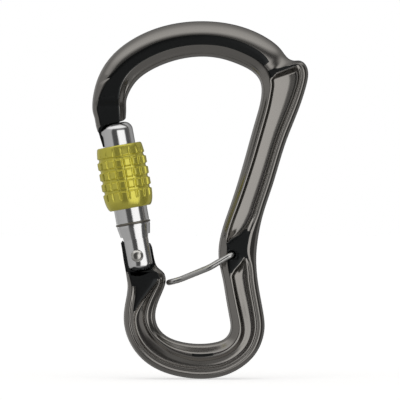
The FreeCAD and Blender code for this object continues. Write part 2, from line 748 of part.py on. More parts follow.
def make_belay_bar():
    """One wire: an end in the spine's front hole, round the U at the free end, and back."""
    x, z = size("bar_pivot_x"), size("bar_pivot_z")
    leg, tip = size("bar_leg_y"), size("bar_tip_y")
    end = HALF - size("bar_hole_depth") + 0.3
    half = [
        Vector(x, -end, z),
        Vector(x, -leg, z),
        Vector(x - 7.4, -leg, z - 4.4),
        Vector(-7.8, -tip, -75.3),
        Vector(-11.34, -tip, -76.2),
    ]
    points = half + [Vector(p.x, -p.y, p.z) for p in reversed(half)]
    bend = size("bar_bend")
    radii = [bend, 6.0, 8.0, tip - 0.2]
    route = doc.addObject("Part::Feature", "belay_bar_route")
    route.Shape = rounded_path(points, radii + radii[::-1])
    section = doc.addObject("Part::Circle", "belay_bar_section")
    section.setExpression("Radius", "dims.bar_wire")
    section.Placement = Placement(points[0], Rotation(Vector(0, 0, 1), Vector(0, -1, 0)))
    bar = doc.addObject("Part::Sweep", "belay_bar")
    bar.Label = "belay_bar"
    bar.Sections = [section]
    bar.Spine = (route, ["Edge%d" % k for k in range(1, len(route.Shape.Edges) + 1)])
    bar.Solid = True
    bar.Frenet = False
    bar.Transition = "Transformed"
    doc.recompute()
    return bar


# ---------------------------------------------------------------- all of it

PARTS = [
    make_frame(),
    make_gate(),
    make_gate_rivet(),
    make_gate_spring(),
    make_spring_plunger(),
    make_retaining_ring(),
    make_locking_sleeve(),
    make_belay_bar(),
]
doc.recompute()

for thing in doc.Objects:
    if "Invalid" in thing.State or "Error" in thing.State:
        raise RuntimeError("%s failed: %s" % (thing.Name, thing.State))
for part in PARTS:
    if part.Shape.isNull() or not part.Shape.isValid() or len(part.Shape.Solids) != 1:
        raise RuntimeError(part.Label + " is not one valid solid")

os.makedirs("parts", exist_ok=True)
for part in PARTS:
    part.Shape.exportStep("parts/%s.step" % part.Label)
    box = part.Shape.BoundBox
    print("%-16s %9.1f mm3  x %.2f %.2f  y %.2f %.2f  z %.2f %.2f" % (
        part.Label, part.Shape.Volume, box.XMin, box.XMax, box.YMin, box.YMax, box.ZMin, box.ZMax))
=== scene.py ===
import math

import bmesh
import bpy
import numpy as np
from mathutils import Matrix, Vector


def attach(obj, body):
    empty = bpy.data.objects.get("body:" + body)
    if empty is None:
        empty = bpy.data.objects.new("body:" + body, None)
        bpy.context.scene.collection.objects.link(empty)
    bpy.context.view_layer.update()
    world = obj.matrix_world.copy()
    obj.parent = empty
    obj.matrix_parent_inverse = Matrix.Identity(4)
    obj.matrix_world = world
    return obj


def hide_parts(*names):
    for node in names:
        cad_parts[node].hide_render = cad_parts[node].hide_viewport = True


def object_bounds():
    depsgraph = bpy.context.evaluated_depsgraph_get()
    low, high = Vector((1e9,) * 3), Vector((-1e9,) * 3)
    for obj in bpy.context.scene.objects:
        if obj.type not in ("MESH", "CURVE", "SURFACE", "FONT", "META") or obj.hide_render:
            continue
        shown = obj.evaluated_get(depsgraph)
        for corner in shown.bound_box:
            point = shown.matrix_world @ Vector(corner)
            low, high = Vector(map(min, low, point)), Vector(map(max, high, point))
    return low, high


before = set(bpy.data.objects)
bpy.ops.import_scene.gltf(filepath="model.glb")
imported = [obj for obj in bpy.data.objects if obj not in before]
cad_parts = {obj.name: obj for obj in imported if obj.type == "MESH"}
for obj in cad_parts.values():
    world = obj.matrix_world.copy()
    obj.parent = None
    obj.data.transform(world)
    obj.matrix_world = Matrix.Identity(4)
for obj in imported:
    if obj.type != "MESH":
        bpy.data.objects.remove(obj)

cad_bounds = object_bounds()
bpy.context.scene.view_settings.view_transform = "Standard"
MM = 0.001

# ---------------------------------------------------------------- places, in mm
# the gate's hinge, its directions along and across, and the foot of its axis
HINGE = np.array([-21.98, -67.15])
UP = np.array([-0.178802, 0.983885])
ACROSS = np.array([0.983885, 0.178802])
GATE_ORIGIN = np.array([-21.4389, -67.0517])
# the concave shoulder round the rivet: its radius, and the angles where the bar's edges meet it
SHOULDER_RADIUS = 6.8
SHOULDER_INNER = math.radians(-22.5)
SHOULDER_OUTER = math.radians(-126.0)
# the nose's end face, across and along the gate, hollowed to clear the gate's top
NOSE_END = [(4.45, 46.35), (3.5, 45.75), (1.7, 45.55), (0.0, 45.5), (-2.3, 45.42), (-4.1, 45.2),
            (-5.0, 44.6), (-5.62, 43.3)]


def from_hinge(across, along):
    """A point of the outline given across and along the closed gate."""
    return tuple(HINGE + across * ACROSS + along * UP)


OUTER_EDGE = [
    from_hinge(-5.62, 43.2), from_hinge(-5.85, 44.6), from_hinge(-5.92, 46.2), from_hinge(-5.95, 48.3),
    (-37.05, -18.6), (-37.2, -17.0), (-36.7, -12.0), (-34.8, -6.0), (-30.8, 0.1), (-23.1, 6.2),
    (-13.6, 10.2), (0.2, 12.0), (13.0, 10.2), (22.0, 6.2), (26.8, 2.1), (29.2, -0.7), (30.9, -1.3),
    (32.8, -1.3), (34.5, -2.3), (35.5, -4.2), (35.7, -6.2), (35.0, -10.0), (33.1, -16.1),
    (28.4, -28.2), (23.4, -44.3), (20.4, -53.5), (18.9, -60.5), (18.2, -67.0), (18.4, -73.0),
    (19.3, -79.5), (20.6, -86.7), (21.0, -91.0), (20.4, -95.0), (18.0, -100.2), (13.5, -104.6),
    (7.5, -107.6), (0.5, -108.7), (-6.5, -108.2), (-13.0, -106.5), (-19.4, -102.9), (-23.1, -98.9),
    (-25.6, -94.0), (-26.6, -88.8), (-26.0, -82.7), (-25.3, -77.6), (-25.8, -73.0), (-26.4, -69.6),
    (-26.7, -68.0),
]
INNER_EDGE = [
    from_hinge(4.45, 46.35), from_hinge(4.85, 47.9), from_hinge(5.3, 50.2), (-25.75, -15.6),
    (-24.8, -12.2), (-22.0, -8.0), (-16.3, -4.0), (-9.3, -1.3), (0.0, 0.0), (5.9, -0.6),
    (12.6, -2.8), (16.7, -5.0), (19.3, -8.0), (19.9, -12.5), (18.0, -21.0), (14.3, -34.2),
    (9.3, -50.4), (6.6, -58.5), (5.5, -64.0), (5.5, -68.5), (6.7, -74.6), (8.1, -82.7),
    (9.2, -88.8), (9.3, -92.3), (7.6, -95.0), (4.2, -96.4), (-0.8, -96.9), (-7.6, -96.1),
    (-12.5, -94.0), (-15.1, -91.0), (-15.9, -87.5), (-15.0, -83.0), (-13.3, -78.9), (-12.4, -75.6),
    (-13.1, -72.9), (-15.2, -71.0), (-16.2, -68.6), (-16.6, -66.5),
]

# how far the outer edge stays inside the solid's
OUTLINE_INSET = 0.012

# Cross-lines of the bar. Columns: inner point, outer point, half thickness, inner round's width and
# height, crest's distance from the inner edge, pocket's near edge and wall, pocket's far edge and
# wall from the outer edge, pocket depth, outer groove depth, outer round's width.
CROSS = [
    (from_hinge(4.85, 47.9), from_hinge(-5.95, 47.9),
     3.85, 0.75, 2.3, 2.1, 3.3, 0.5, 3.3, 0.5, 0.0, 0.0, 1.6),
    ((-25.8, -16.9), (-37.2, -17.3), 3.92, 0.8, 2.5, 2.3, 3.5, 0.5, 3.4, 0.5, 0.0, 0.0, 1.7),
    ((-25.3, -13.9), (-37.0, -14.0), 5.5, 1.1, 3.4, 2.6, 4.0, 0.5, 4.0, 0.5, 0.0, 0.0, 2.3),
    ((-24.0, -10.8), (-35.9, -8.8), 5.5, 1.6, 3.4, 3.4, 4.6, 0.5, 5.0, 0.5, 0.0, 0.0, 3.3),
    ((-22.0, -8.0), (-32.8, -2.6), 5.5, 1.9, 3.9, 3.75, 4.5, 0.5, 6.8, 0.5, 0.0, 0.0, 5.2),
    ((-16.3, -4.0), (-24.0, 5.6), 5.5, 1.9, 4.2, 3.9, 4.3, 0.5, 7.5, 0.5, 0.0, 0.0, 6.0),
    ((-9.3, -1.3), (-13.6, 10.2), 5.5, 1.9, 4.4, 3.9, 4.2, 0.5, 7.5, 0.5, 0.0, 0.0, 6.0),
    ((0.0, 0.0), (0.2, 12.0), 5.5, 1.85, 4.4, 3.85, 4.2, 0.5, 7.5, 0.5, 0.0, 0.0, 6.0),
    ((8.0, -1.2), (11.0, 10.7), 5.5, 2.0, 4.4, 4.0, 4.2, 0.5, 7.7, 0.5, 0.0, 0.0, 6.2),
    ((14.5, -3.8), (21.6, 6.45), 5.5, 1.8, 4.4, 3.9, 4.2, 0.5, 8.1, 0.5, 0.0, 0.0, 6.6),
    ((17.6, -5.8), (27.8, 1.0), 5.5, 1.5, 4.45, 3.9, 4.2, 0.5, 8.9, 0.5, 0.0, 0.0, 7.4),
    ((18.7, -7.0), (31.6, -1.3), 5.5, 1.2, 4.5, 3.75, 4.1, 0.5, 9.9, 0.5, 0.0, 0.0, 8.5),
    ((19.2, -7.8), (34.2, -2.1), 5.5, 1.0, 4.5, 3.6, 5.6, 0.5, 3.3, 0.5, 0.0, 0.0, 1.7),
    ((19.7, -9.4), (35.25, -3.9), 5.5, 1.05, 4.5, 2.9, 3.3, 0.5, 3.25, 0.5, 2.2, 0.5, 1.85),
    ((19.9, -10.7), (35.7, -6.0), 5.5, 1.2, 4.5, 2.9, 3.2, 0.5, 3.15, 0.5, 2.2, 0.5, 1.85),
    ((19.7, -13.6), (34.9, -10.4), 5.5, 1.35, 4.5, 2.5, 2.8, 0.5, 3.15, 0.5, 2.2, 0.5, 1.85),
    ((18.9, -17.5), (32.6, -17.4), 5.5, 1.4, 4.5, 2.3, 2.6, 0.5, 3.15, 0.5, 2.2, 0.5, 1.85),
    ((17.5, -22.8), (29.9, -24.4), 5.5, 1.4, 4.5, 2.3, 2.6, 0.5, 3.1, 0.5, 2.2, 0.5, 1.85),
    ((15.0, -31.8), (26.9, -33.4), 5.5, 1.4, 4.5, 2.25, 2.5, 0.5, 3.0, 0.5, 2.2, 0.5, 1.85),
    ((11.9, -42.0), (23.3, -44.7), 5.5, 1.2, 4.5, 2.0, 2.2, 0.5, 3.05, 0.5, 2.2, 0.5, 1.85),
    ((9.3, -50.4), (20.6, -53.0), 5.5, 1.05, 4.5, 1.75, 2.0, 0.5, 3.0, 0.5, 2.2, 0.5, 1.85),
    ((7.9, -54.5), (19.5, -57.3), 5.5, 1.0, 4.5, 1.7, 1.9, 0.5, 3.9, 0.5, 2.2, 0.2, 2.4),
    ((6.6, -58.5), (18.8, -61.0), 5.5, 1.0, 4.5, 1.7, 1.9, 0.5, 6.3, 0.5, 2.2, 0.0, 3.0),
    ((5.9, -61.3), (18.5, -63.4), 5.5, 1.0, 4.5, 1.9, 2.1, 0.5, 9.4, 0.5, 1.8, 0.0, 3.15),
    ((5.7, -62.5), (18.35, -64.6), 5.5, 1.0, 4.5, 2.3, 2.5, 0.4, 10.1, 0.4, 0.0, 0.0, 3.2),
    ((5.5, -64.4), (18.25, -66.0), 5.5, 1.0, 4.5, 2.8, 5.0, 0.5, 5.2, 0.5, 0.0, 0.0, 3.15),
    ((5.4, -66.8), (18.2, -67.9), 5.5, 1.0, 4.5, 2.9, 8.4, 0.4, 3.9, 0.4, 0.0, 0.0, 2.7),
    ((5.6, -69.2), (18.2, -70.2), 5.5, 1.05, 4.5, 2.8, 6.9, 0.5, 3.65, 0.5, 1.5, 0.4, 2.0),
    ((6.1, -72.0), (18.4, -73.0), 5.5, 1.1, 4.5, 2.6, 4.2, 0.5, 3.7, 0.5, 2.2, 0.5, 1.75),
    ((6.6, -74.2), (18.6, -75.0), 5.5, 1.1, 4.5, 2.5, 2.9, 0.6, 3.7, 0.5, 2.2, 0.5, 1.85),
    ((7.4, -78.2), (19.1, -78.6), 5.5, 1.1, 4.5, 2.6, 2.8, 0.7, 3.7, 0.5, 2.2, 0.5, 1.85),
    ((8.1, -82.7), (19.95, -83.0), 5.5, 1.1, 4.5, 2.7, 2.95, 0.8, 3.6, 0.5, 2.2, 0.5, 1.85),
    ((9.2, -88.8), (20.9, -89.3), 5.5, 1.1, 4.4, 2.85, 3.1, 0.9, 3.6, 0.5, 2.0, 0.5, 1.85),
    ((9.3, -92.3), (20.2, -95.6), 5.5, 1.0, 4.0, 2.9, 3.3, 1.0, 3.5, 0.4, 1.8, 0.5, 1.85),
    ((7.6, -95.0), (16.0, -102.5), 5.5, 0.95, 3.6, 3.0, 3.5, 1.2, 3.5, 0.4, 1.6, 0.5, 1.8),
    ((4.2, -96.4), (8.7, -107.1), 5.5, 0.9, 3.2, 3.2, 4.0, 1.5, 3.5, 0.4, 1.5, 0.5, 1.8),
    ((-0.8, -96.9), (-0.8, -108.75), 5.5, 0.9, 3.0, 3.2, 4.2, 1.6, 3.6, 0.4, 1.5, 0.5, 1.8),
    ((-7.6, -96.1), (-10.8, -107.3), 5.5, 0.95, 3.3, 2.8, 3.4, 1.4, 3.5, 0.4, 1.5, 0.5, 1.8),
    ((-12.5, -94.0), (-19.2, -103.1), 5.5, 1.05, 3.8, 2.3, 2.55, 1.0, 3.4, 0.4, 1.5, 0.5, 1.9),
    ((-15.1, -91.0), (-24.5, -96.5), 5.5, 1.15, 4.4, 2.5, 2.75, 0.9, 3.3, 0.4, 1.5, 0.5, 1.9),
    ((-15.9, -87.5), (-26.6, -88.6), 5.5, 1.2, 4.5, 2.8, 3.05, 0.8, 3.4, 0.5, 1.5, 0.5, 1.9),
    ((-15.1, -83.3), (-26.1, -83.4), 5.5, 1.2, 4.5, 2.6, 2.85, 0.7, 4.8, 0.8, 1.4, 0.45, 1.85),
    ((-13.5, -79.4), (-25.4, -78.6), 5.5, 1.1, 4.5, 2.35, 2.6, 0.6, 7.3, 0.8, 1.2, 0.1, 1.7),
    ((-12.5, -76.6), (-25.4, -75.8), 5.5, 1.1, 4.5, 2.0, 2.2, 0.5, 9.6, 0.6, 0.8, 0.0, 1.3),
    ((-12.5, -74.8), (-25.6, -74.2), 5.5, 1.1, 4.5, 1.95, 2.2, 0.4, 10.5, 0.4, 0.0, 0.0, 1.1),
    ((-13.3, -72.6), (-25.85, -72.6), 5.5, 1.1, 4.5, 1.9, 2.6, 0.4, 5.0, 0.4, 0.0, 0.0, 1.0),
]


# ---------------------------------------------------------------- curves
SEARCH_STEPS = 6000


def spline(points):
    """A smooth curve through the points: its points' distances along it, and its value at any."""
    p = np.array(points, float)
    step = np.linalg.norm(np.diff(p, axis=0), axis=1)
    knots = np.concatenate([[0.0], np.cumsum(step)])
    count = len(p)
    a, b = np.eye(count), np.zeros((count, 2))
    for i in range(1, count - 1):
        a[i, i - 1:i + 2] = step[i - 1], 2 * (step[i - 1] + step[i]), step[i]
        b[i] = 6 * ((p[i + 1] - p[i]) / step[i] - (p[i] - p[i - 1]) / step[i - 1])
    m = np.linalg.solve(a, b)

    def at(s):
        s = np.clip(np.atleast_1d(s), 0, knots[-1])
        i = np.clip(np.searchsorted(knots, s, side="right") - 1, 0, count - 2)
        h = step[i][:, None]
        after, before = (s - knots[i])[:, None], (knots[i + 1] - s)[:, None]
        return (m[i] * before**3 / (6 * h) + m[i + 1] * after**3 / (6 * h)
                + (p[i] / h - m[i] * h / 6) * before + (p[i + 1] / h - m[i + 1] * h / 6) * after)

    return knots, at


def nearest(curve, point):
    """Distance along the curve of the place nearest to the point."""
    knots, at = curve
    s = np.linspace(0, knots[-1], SEARCH_STEPS)
    return s[np.argmin(np.linalg.norm(at(s) - np.array(point), axis=1))]


def monotone(x, y):
    """Smooth interpolation without overshoot through rows of values."""
    x, y = np.array(x, float), np.array(y, float)
    h = np.diff(x)[:, None]
    slope = np.diff(y, axis=0) / h
    tangent = np.zeros_like(y)
    tangent[0], tangent[-1] = slope[0], slope[-1]
    same = slope[:-1] * slope[1:] > 0
    w1, w2 = 2 * h[1:] + h[:-1], h[1:] + 2 * h[:-1]
    mean = (w1 + w2) / (w1 / np.where(same, slope[:-1], 1) + w2 / np.where(same, slope[1:], 1))
    tangent[1:-1] = np.where(same, mean, 0)

    def at(v):
        i = np.clip(np.searchsorted(x, v, side="right") - 1, 0, len(x) - 2)
        t = ((v - x[i]) / h[i, 0])[:, None]
        return ((2 * t**3 - 3 * t**2 + 1) * y[i] + (t**3 - 2 * t**2 + t) * h[i] * tangent[i]
                + (3 * t**2 - 2 * t**3) * y[i + 1] + (t**3 - t**2) * h[i] * tangent[i + 1])

    return at


# ---------------------------------------------------------------- the bar's cross-section
# strips in the inner round, in the outer rim, and between the points of the face
ROUND_STEPS = 9
RIM_STEPS = 16
STRIPS = [5, 4, 4, 5, 6, 6, 5, 5, 5, 5, 4, 4]
# least distances between neighbouring points of the face
CREST_GAP = 0.08
FACE_GAP = 0.3
GROOVE_GAP = 0.04
# half the outer groove's width, and the pocket floor's fall and place as shares of depth and width
GROOVE_HALF = 0.62
FLOOR_START = 0.78
FLOOR_MIDDLE = 0.6
FLOOR_LOW = 1.2
# how far each corner is softened, from the inner round to the rim
SOFTNESS = [0.1, 0.16, 0.14, 0.14, 0.22, 0.4, 0.2, 0.16, 0.14, 0.14, 0.14, 0.12, 0.12]
# the lit facet at the pocket's near edge, and the facet and bevel of a narrow rim as shares of it
FACET = 0.42
FACET_DROP = 0.125
RIM_FACET = 0.26
RIM_FACET_FALL = 0.29
RIM_BEVEL = 0.34
RIM_BEVEL_FALL = 0.9
RIM_START = math.radians(12)
# a rim wider than this has no facet, and the strips of it next to a flat are satin, painted near-black as
# shade
RIM_WIDE = 4.2
SATIN_SHADE_RIM = 2
# the step of the softening, and its least spread
FINE_STEP = 0.04
LEAST_SPREAD = 1e-4
# a level stretch counts as a flat, painted with the near-black satin as shade, when it is wider than this
LEVEL = 0.03
FLAT_WIDTH = 0.9
# finish indices: the frame's gloss metal, and the same metal as a near-black satin that paints the shade
# on flats facing the front, on end faces, on hole walls and on the parts in the gap under the gate
GLOSS, SATIN_SHADE = 0, 1
# cross-sections along the bar: their spacing, the least number between two cross-lines, and the
# number in each end patch
STATION_STEP = 0.5
LEAST_STATIONS = 6
PATCH_STEPS = 12


def rounded(corners, softness, fractions):
    """Points of a polyline whose corners are softened by averaging it over a length that varies."""
    step = np.linalg.norm(np.diff(corners, axis=0), axis=1)
    knots = np.concatenate([[0.0], np.cumsum(step)])
    fine = np.linspace(0, knots[-1], math.ceil(knots[-1] / FINE_STEP))
    line = np.stack([np.interp(fine, knots, corners[:, k]) for k in (0, 1)], axis=1)
    s = np.concatenate([knots[k] + step[k] * np.array(f) for k, f in enumerate(fractions)])
    spread = np.interp(s, knots, softness)
    to_end = np.minimum(s, knots[-1] - s) / 3 + 1e-3
    spread = np.clip(to_end, LEAST_SPREAD, np.maximum(spread, LEAST_SPREAD))
    weight = np.exp(-0.5 * ((fine[None, :] - s[:, None]) / spread[:, None])**2) + 1e-12
    smoothed = weight @ line / weight.sum(axis=1)[:, None]
    sharp = np.stack([np.interp(s, knots, corners[:, k]) for k in (0, 1)], axis=1)
    return np.where(spread[:, None] > FINE_STEP, smoothed, sharp)


def section(width, half, ri, yi, crest, near, near_wall, far, far_wall, depth, groove, ro):
    """Front half of a cross-section: distance from the inner edge, height, and the next strip's finish."""
    far_edge = width - far
    near = max(near, crest + CREST_GAP)
    far_edge = max(far_edge, near + FACE_GAP)
    gap = far_edge - near
    facet = min(FACET, 0.2 * gap)
    near_foot = near + facet + min(near_wall, 0.25 * gap)
    far_foot = far_edge - min(far_wall, 0.33 * gap)
    floor_middle = near_foot + FLOOR_MIDDLE * (far_foot - near_foot)
    groove_edge = max(width - ro - 2 * GROOVE_HALF, far_edge + GROOVE_GAP)
    outer_crest = max(width - ro, groove_edge + CREST_GAP)
    keys = [
        (ri, yi), (crest, half), (near, half), (near + facet, half - FACET_DROP * min(depth, 1.0)),
        (near_foot, half - FLOOR_START * depth),
        (floor_middle, half - FLOOR_LOW * depth), (far_foot, half - FLOOR_LOW * depth),
        (far_edge, half),
        (groove_edge, half), ((groove_edge + outer_crest) / 2, half - groove), (outer_crest, half),
    ]
    level = [abs(a[1] - half) + abs(b[1] - half) < LEVEL for a, b in zip(keys, keys[1:])]
    flat = [False] * len(level)
    k = 0
    while k < len(level):
        last = k
        while last < len(level) and level[last]:
            last += 1
        if last > k and keys[last][0] - keys[k][0] > FLAT_WIDTH:
            flat[k:last] = [True] * (last - k)
        k = max(last, k + 1)
    inside = [math.pi / 2 * i / ROUND_STEPS for i in range(ROUND_STEPS)]
    corners = [(ri * (1 - math.cos(t)), yi * math.sin(t)) for t in inside] + keys
    rim = width - outer_crest
    narrow = min(1.0, max(0.0, RIM_WIDE - rim))
    turn = RIM_START * narrow
    facet_wide, bevel_wide = RIM_FACET * rim * narrow, RIM_BEVEL * rim * narrow
    rim_facet = (outer_crest + facet_wide, half - RIM_FACET_FALL * facet_wide)
    bevel = (rim_facet[0] + bevel_wide, rim_facet[1] - RIM_BEVEL_FALL * bevel_wide)
    corners += [rim_facet, bevel]
    for i in range(1, RIM_STEPS + 1):
        t = turn + (math.pi / 2 - turn) * i / RIM_STEPS
        along = (math.sin(t) - math.sin(turn)) / (1 - math.sin(turn))
        corners.append((bevel[0] + (width - bevel[0]) * along, bevel[1] * math.cos(t) / math.cos(turn)))
    softness = [0.0] * ROUND_STEPS + SOFTNESS + [SOFTNESS[-1]] * (RIM_STEPS - 3) + [0.0] * 3
    whole = [[0.0]] * ROUND_STEPS + [list(np.arange(n) / n) for n in STRIPS]
    whole += [[0.0, 0.5]] * 3 + [[0.0]] * (RIM_STEPS - 4) + [[0.0, 1.0]]
    finishes = [GLOSS] * ROUND_STEPS
    flat += [flat[-1] and rim > RIM_WIDE] * 2
    for strips, is_flat in zip(STRIPS, flat):
        finishes += [SATIN_SHADE if is_flat else GLOSS] * strips
    finishes += [SATIN_SHADE if flat[-1] and rim > RIM_WIDE else GLOSS] * 2 * SATIN_SHADE_RIM
    points = rounded(np.array(corners), softness, whole)
    finishes += [GLOSS] * (len(points) - len(finishes))
    return [(*point, finish) for point, finish in zip(points, finishes)]


def end_patch(edges, profile, start, finish, line_at):
    """Sections that turn gradually from a straight cross-line into the line of the bar's end face."""
    (inner, s_in, end_in), (outer, s_out, end_out) = edges
    width = np.linalg.norm(finish - start)
    rows = []
    for n in range(1, PATCH_STEPS + 1):
        v = n / PATCH_STEPS
        side_in = inner[1](s_in + (end_in - s_in) * v)[0]
        side_out = outer[1](s_out + (end_out - s_out) * v)[0]
        line = []
        for d, y, finish in section(width, *profile):
            u = d / width
            straight = start + (finish - start) * u
            corners = (1 - v) * straight + v * (line_at(0) * (1 - u) + line_at(1) * u)
            p = (1 - v) * straight + v * line_at(u) + (1 - u) * side_in + u * side_out - corners
            line.append((*p, y, finish))
        rows.append(line)
    return rows


def shoulder_line(u):
    """The concave shoulder round the rivet, from the bar's inner to its outer edge."""
    t = SHOULDER_INNER + (SHOULDER_OUTER - SHOULDER_INNER) * u
    return HINGE + SHOULDER_RADIUS * np.array([math.cos(t), math.sin(t)])


def nose_line(u):
    """The nose's end face, from the bar's inner to its outer edge."""
    across, along = np.array(NOSE_END).T
    a = across[0] + (across[-1] - across[0]) * u
    return np.array(from_hinge(a, monotone(-across, along[:, None])(np.array([-a]))[0, 0]))


def frame_bar():
    """The forged bar as one closed skin of cross-sections from the nose to the hinge shoulder."""
    inner, outer = spline(INNER_EDGE), spline(OUTER_EDGE)
    rows = []
    for row in CROSS:
        rows.append((nearest(inner, row[0]), nearest(outer, row[1])) + tuple(row[2:]))
    rows = np.array(rows)
    mid = np.concatenate([[0.0], np.cumsum(np.abs(np.diff(rows[:, :2], axis=0)).mean(axis=1))])
    values = monotone(mid, rows)
    stations = []
    for a, b in zip(mid[:-1], mid[1:]):
        count = max(LEAST_STATIONS, math.ceil((b - a) / STATION_STEP))
        stations += list(np.linspace(a, b, count, endpoint=False))
    stations.append(mid[-1])
    table = values(np.array(stations))
    grid = []
    for s_in, s_out, *profile in table:
        a, b = inner[1](s_in)[0], outer[1](s_out)[0]
        width = np.linalg.norm(b - a)
        b = b - (b - a) * OUTLINE_INSET / width
        half_section = section(width, *profile)
        grid.append([(*(a + (b - a) * d / width), y, finish) for d, y, finish in half_section])
    for row, line_at, at_start in ((table[0], nose_line, True), (table[-1], shoulder_line, False)):
        s_in, s_out, *profile = row
        edges = ((inner, s_in, nearest(inner, line_at(0))), (outer, s_out, nearest(outer, line_at(1))))
        rows = end_patch(edges, profile, inner[1](s_in)[0], outer[1](s_out)[0], line_at)
        grid = rows[::-1] + grid if at_start else grid + rows
    return grid


def skin(name, grid):
    """A closed mesh from half sections, mirrored front to back, with a finish index per strip."""
    mesh = bpy.data.meshes.new(name)
    bm = bmesh.new()
    rings = []
    for line in grid:
        front = [bm.verts.new((x * MM, -y * MM, z * MM)) for x, z, y, _ in line]
        back = [bm.verts.new((x * MM, y * MM, z * MM)) for x, z, y, _ in line[-2:0:-1]]
        rings.append(front + back)
    around = len(rings[0])
    half = len(grid[0])
    for ring, following, line in zip(rings[:-1], rings[1:], grid[1:]):
        for i in range(around):
            j = (i + 1) % around
            face = bm.faces.new((ring[i], ring[j], following[j], following[i]))
            k = i if i < half - 1 else 2 * half - 3 - i
            face.material_index = line[max(k, 0)][3]
            face.smooth = True
    # both end faces of the bar get the near-black satin: painted shade at the nose's and the shoulder's
    # ends
    for ring in (rings[0][::-1], rings[-1]):
        bm.faces.new(ring).material_index = SATIN_SHADE
    bmesh.ops.recalc_face_normals(bm, faces=bm.faces)
    bm.to_mesh(mesh)
    bm.free()
    piece = bpy.data.objects.new(name, mesh)
    bpy.context.scene.collection.objects.link(piece)
    return piece


# ---------------------------------------------------------------- materials
PATCHES = 90
RELIEF_HEIGHT = 0.00002
SPECK_FROM, SPECK_TO = 0.62, 0.75
SPECK_BRIGHTER = 2.5


def material(name, colour, rough, metallic=1.0, rough_spread=0.05, grain=4000.0, bump=0.02,
             stretch=(1, 1, 1), colour_spread=0.1, turn=0.0, speckle=0.0):
    """A surface with its own fine grain, patches of tone and slight unevenness of gloss."""
    m = bpy.data.materials.new(name)
    m.use_nodes = True
    nodes, links = m.node_tree.nodes, m.node_tree.links
    shader = nodes["Principled BSDF"]
    shader.inputs["Metallic"].default_value = metallic
    place = nodes.new("ShaderNodeTexCoord")
    turned = nodes.new("ShaderNodeMapping")
    turned.inputs["Rotation"].default_value = (0, turn, 0)
    turned.inputs["Scale"].default_value = stretch
    links.new(place.outputs["Object"], turned.inputs["Vector"])
    fine = nodes.new("ShaderNodeTexNoise")
    fine.inputs["Scale"].default_value = grain
    fine.inputs["Detail"].default_value = 3
    links.new(turned.outputs["Vector"], fine.inputs["Vector"])
    broad = nodes.new("ShaderNodeTexNoise")
    broad.inputs["Scale"].default_value = PATCHES
    broad.inputs["Detail"].default_value = 2
    links.new(place.outputs["Object"], broad.inputs["Vector"])
    tone = nodes.new("ShaderNodeMix")
    tone.data_type = "RGBA"
    tone.inputs["A"].default_value = (*[c * (1 - colour_spread) for c in colour], 1)
    tone.inputs["B"].default_value = (*[min(1, c * (1 + colour_spread)) for c in colour], 1)
    links.new(broad.outputs["Fac"], tone.inputs["Factor"])
    base = tone.outputs["Result"]
    if speckle:
        dots = nodes.new("ShaderNodeMapRange")
        dots.inputs["From Min"].default_value = SPECK_FROM
        dots.inputs["From Max"].default_value = SPECK_TO
        dots.inputs["To Max"].default_value = speckle
        links.new(fine.outputs["Fac"], dots.inputs["Value"])
        flecked = nodes.new("ShaderNodeMix")
        flecked.data_type = "RGBA"
        flecked.inputs["B"].default_value = (*[min(1, c * SPECK_BRIGHTER) for c in colour], 1)
        links.new(dots.outputs["Result"], flecked.inputs["Factor"])
        links.new(base, flecked.inputs["A"])
        base = flecked.outputs["Result"]
    links.new(base, shader.inputs["Base Color"])
    gloss = nodes.new("ShaderNodeMapRange")
    gloss.inputs["To Min"].default_value = rough - rough_spread
    gloss.inputs["To Max"].default_value = rough + rough_spread
    links.new(fine.outputs["Fac"], gloss.inputs["Value"])
    links.new(gloss.outputs["Result"], shader.inputs["Roughness"])
    relief = nodes.new("ShaderNodeBump")
    relief.inputs["Strength"].default_value = bump
    relief.inputs["Distance"].default_value = RELIEF_HEIGHT
    links.new(fine.outputs["Fac"], relief.inputs["Height"])
    links.new(relief.outputs["Normal"], shader.inputs["Normal"])
    return m


GATE_LEAN = math.radians(10.3)
gloss_metal = material("frame_gloss", (0.31, 0.298, 0.282), 0.17, grain=3000, bump=0.003,
                       rough_spread=0.02, colour_spread=0.05)
# the satin is a near-black copy of the frame's metal: its dark colour is painted shade, and its rougher
# speckled grain is the surface's own
satin_painted_shade = material("frame_satin_painted_shade", (0.035, 0.037, 0.038), 0.3, grain=5200, bump=0.08, speckle=0.2)
gate_metal = material("gate_metal", (0.88, 0.885, 0.895), 0.15, grain=2600, stretch=(1, 1, 0.02),
                      turn=-GATE_LEAN, bump=0.04, colour_spread=0.03, rough_spread=0.04)
sleeve_metal = material("sleeve_metal", (0.85, 0.78, 0.13), 0.22, metallic=0.65, grain=3500, bump=0.03)
bar_metal = material("bar_metal", (0.62, 0.62, 0.61), 0.22, grain=3000, bump=0.03)
ring_metal = material("ring_metal", (0.24, 0.225, 0.20), 0.3, grain=3000, bump=0.05)
rivet_metal = material("rivet_metal", (0.70, 0.69, 0.66), 0.2, grain=3000, bump=0.03)
spring_metal = material("spring_metal", (0.55, 0.55, 0.55), 0.25, grain=3000, bump=0.03)


# ---------------------------------------------------------------- pieces
for node, finish in (("gate", gate_metal), ("gate_rivet", rivet_metal), ("gate_spring", spring_metal),
                     ("spring_plunger", spring_metal), ("retaining_ring", ring_metal),
                     ("locking_sleeve", sleeve_metal), ("belay_bar", bar_metal)):
    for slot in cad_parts[node].material_slots:
        slot.material = finish

# the sleeve's outline and bore: height above the gate's foot, and radius
SLEEVE_OUTLINE = [(16.2, 6.75), (16.35, 7.0), (17.5, 7.66), (19.4, 8.11), (22.52, 8.34), (32.9, 8.34),
                  (34.1, 8.1), (37.2, 7.62), (37.5, 7.5), (37.7, 7.2)]
SLEEVE_BORE = [(37.7, 6.9), (37.4, 6.8), (26.4, 6.8), (26.2, 5.72), (16.5, 5.72), (16.2, 5.95)]
